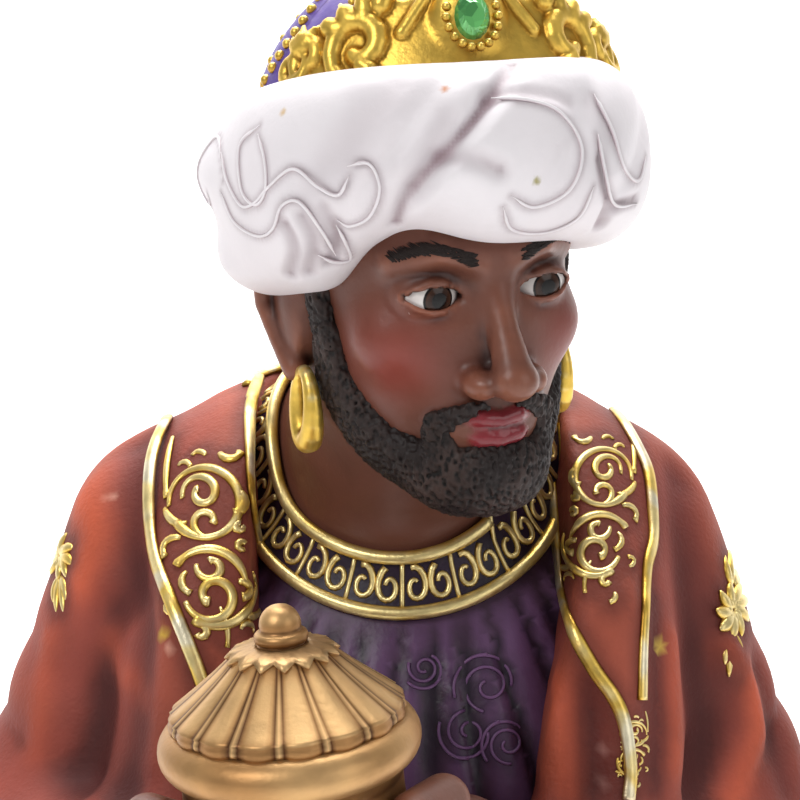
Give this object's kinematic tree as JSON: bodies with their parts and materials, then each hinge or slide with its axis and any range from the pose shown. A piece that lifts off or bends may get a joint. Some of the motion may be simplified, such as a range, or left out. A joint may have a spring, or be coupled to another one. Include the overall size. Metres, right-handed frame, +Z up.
{
  "type": "nativity wise man figurine",
  "caption": "Standing robed wise man figurine with turban and crown, holding a lidded gift jar, on a low round base that stands free",
  "frame": {"origin": "middle of the flat underside of the base, at the floor", "axes": "+Z up along the figure's height, the figure faces -Y, +X to its left hand side as seen from the front on the right"},
  "size_m": [0.2438, 0.2464, 0.6401],
  "materials": {
    "painted_resin": "matte painted",
    "bronze_gold": "satin metallic paint",
    "green_stone": "polished facets"
  },
  "bodies": {
    "root": {"figure": "painted_resin", "gift_jar": "bronze_gold", "crown_gem": "green_stone"}
  },
  "joints": []
}
